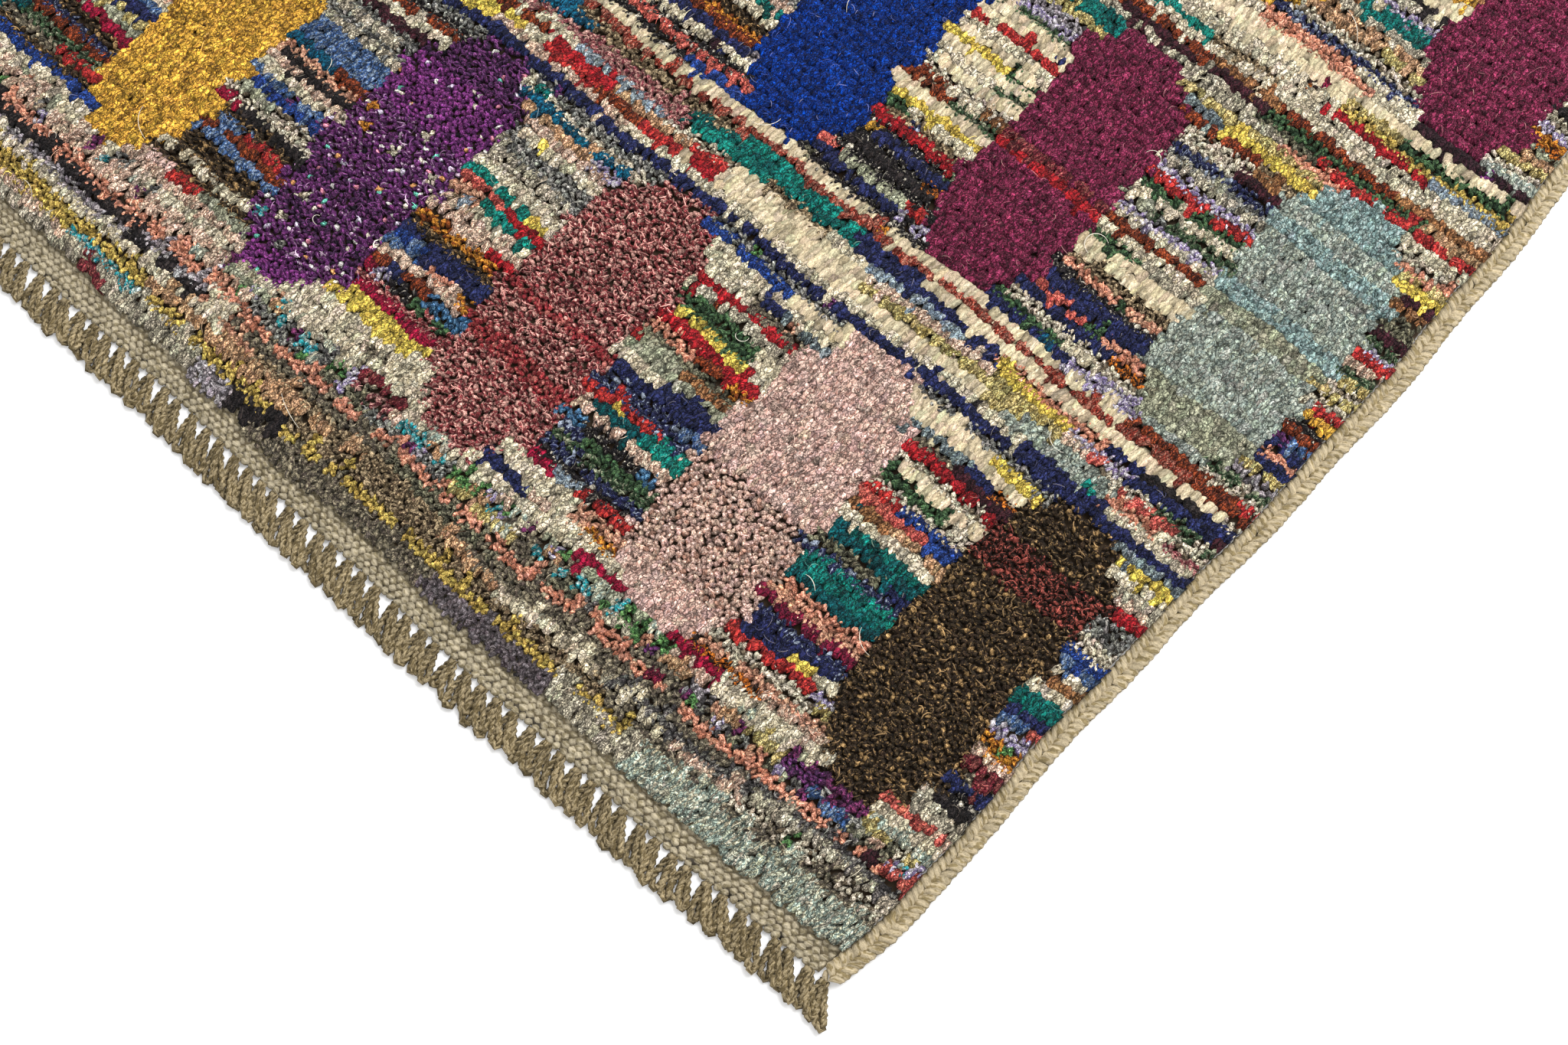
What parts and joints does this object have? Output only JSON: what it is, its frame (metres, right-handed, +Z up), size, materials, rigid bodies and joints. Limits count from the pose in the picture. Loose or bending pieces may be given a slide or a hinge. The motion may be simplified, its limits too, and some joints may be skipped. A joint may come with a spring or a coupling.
{
  "type": "recycled rug",
  "caption": "Rectangular hand-knotted pile rug of recycled yarn with flat-woven ends, wrapped side cords and a looped fringe at both ends, lying flat.",
  "frame": {"origin": "middle of the rug's outline, on the floor plane under it", "axes": "+X along the weft, across the rug; +Y along the warp, from the near fringe to the far one; +Z up out of the pile"},
  "size_m": [0.9092, 1.5562, 0.0116],
  "materials": {
    "recycled_yarn_pile": "matt multicoloured cut pile",
    "overcast_wool": "matt wrapped wool",
    "looped_warp_wool": "matt twisted wool"
  },
  "bodies": {
    "root": {"pile_and_weave": "recycled_yarn_pile", "side_cord_left": "overcast_wool", "side_cord_right": "overcast_wool", "fringe_near": "looped_warp_wool", "fringe_far": "looped_warp_wool"}
  },
  "joints": []
}
